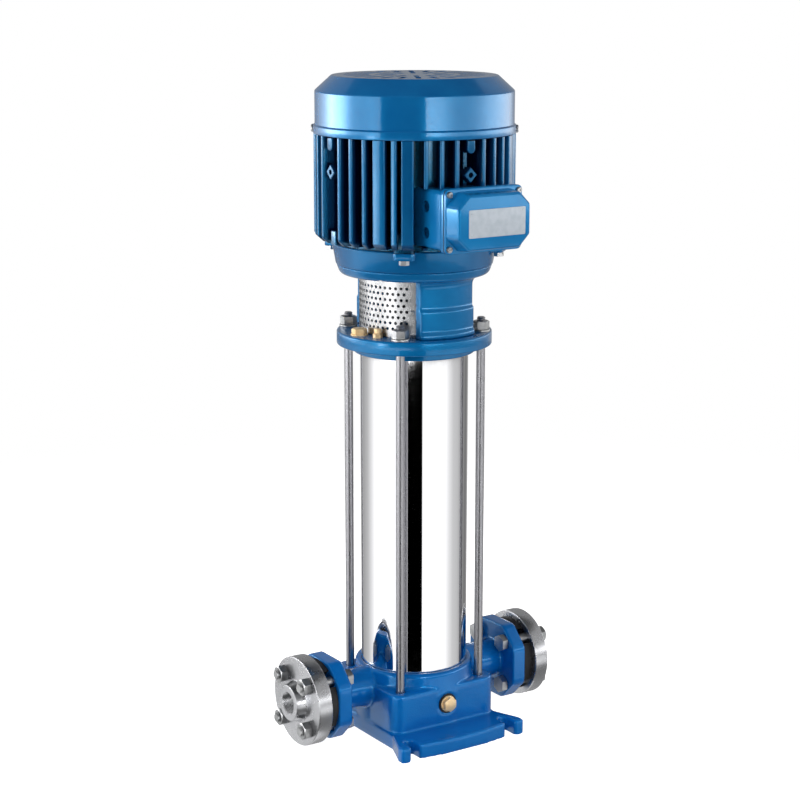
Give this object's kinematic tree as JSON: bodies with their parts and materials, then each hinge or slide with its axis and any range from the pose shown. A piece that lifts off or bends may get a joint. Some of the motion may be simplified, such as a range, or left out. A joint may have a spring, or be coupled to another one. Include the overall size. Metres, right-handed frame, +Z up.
{
  "type": "vertical multistage pump",
  "caption": "Vertical in-line multistage pump: ported cast foot with threaded flanges, polished sleeve on tie rods, coupling stool and finned motor.",
  "frame": {"origin": "centre of the foot's flat underside, on the shaft axis", "axes": "+Z up the shaft, X along the ports with suction at -X, -Y is the terminal box side"},
  "size_m": [0.352, 0.274, 0.7733],
  "materials": {
    "blue_casting": "gloss blue enamel on cast iron",
    "blue_motor": "gloss blue enamel on cast aluminium",
    "blue_sheet": "gloss blue enamel on pressed steel",
    "blue_box": "gloss blue enamel on die-cast aluminium",
    "polished_steel": "mirror-polished stainless steel",
    "machined_steel": "turned stainless steel",
    "bright_steel": "drawn stainless steel",
    "zinc_steel": "zinc-plated steel",
    "stainless_sheet": "pressed stainless sheet",
    "shaft_steel": "ground steel",
    "brass": "machined brass",
    "black_rubber": "matt black EPDM",
    "plate_silver": "satin anodised sheet",
    "cast_grey": "machined cast iron",
    "lamination": "stacked electrical steel",
    "copper": "varnished copper wire",
    "moulding": "moulded black plastic",
    "carbide": "sintered carbide"
  },
  "bodies": {
    "pump": {"base_casting": "blue_casting", "bearing_outer_rings": "shaft_steel", "bottom_bush": "carbide", "box_gasket": "black_rubber", "cover_screws": "zinc_steel", "cowl_screws": "zinc_steel", "discharge_chamber": "stainless_sheet", "discharge_flange": "machined_steel", "discharge_gasket": "black_rubber", "drain_plug": "brass", "drain_seal": "black_rubber", "entry_plugs": "blue_box", "fan_cowl": "blue_sheet", "flange_bolts": "zinc_steel", "flange_nuts": "zinc_steel", "frame_screws": "zinc_steel", "guard_left": "stainless_sheet", "guard_right": "stainless_sheet", "guard_screws": "zinc_steel", "inlet_support": "stainless_sheet", "motor_end_bell": "blue_motor", "motor_flange_screws": "zinc_steel", "motor_frame": "blue_motor", "motor_stool": "blue_casting", "name_plate": "plate_silver", "outer_sleeve": "polished_steel", "priming_plug": "brass", "pump_head": "blue_casting", "rear_end_shield": "blue_motor", "seal_seat": "carbide", "sleeve_seals": "black_rubber", "stage_chambers": "stainless_sheet", "stator_core": "lamination", "stator_windings": "copper", "stool_screws": "zinc_steel", "suction_flange": "machined_steel", "suction_gasket": "black_rubber", "terminal_board": "moulding", "terminal_box": "blue_box", "terminal_box_cover": "blue_box", "tie_rod_nuts": "zinc_steel", "tie_rod_washers": "zinc_steel", "tie_rods": "bright_steel", "vent_seat": "brass"},
    "rotor": {"pump_shaft": "shaft_steel", "impellers": "stainless_sheet", "shaft_spacers": "stainless_sheet", "seal_ring": "bright_steel", "coupling_halves": "cast_grey", "coupling_bolts": "zinc_steel", "motor_shaft": "shaft_steel", "rotor_core": "lamination", "bearing_inner_rings": "shaft_steel", "cooling_fan": "moulding"},
    "vent_screw": {"vent_screw": "brass"}
  },
  "joints": [
    {"name": "rotor_spin", "type": "hinge", "parent": "pump", "child": "rotor", "pos_m": [0, 0, 0.5], "axis": [0, 0, 1], "continuous": true},
    {"name": "vent_turn", "type": "hinge", "parent": "pump", "child": "vent_screw", "pos_m": [-0.066, -0.025, 0.485], "axis": [0, 0, 1], "range_deg": [0, 360]}
  ]
}
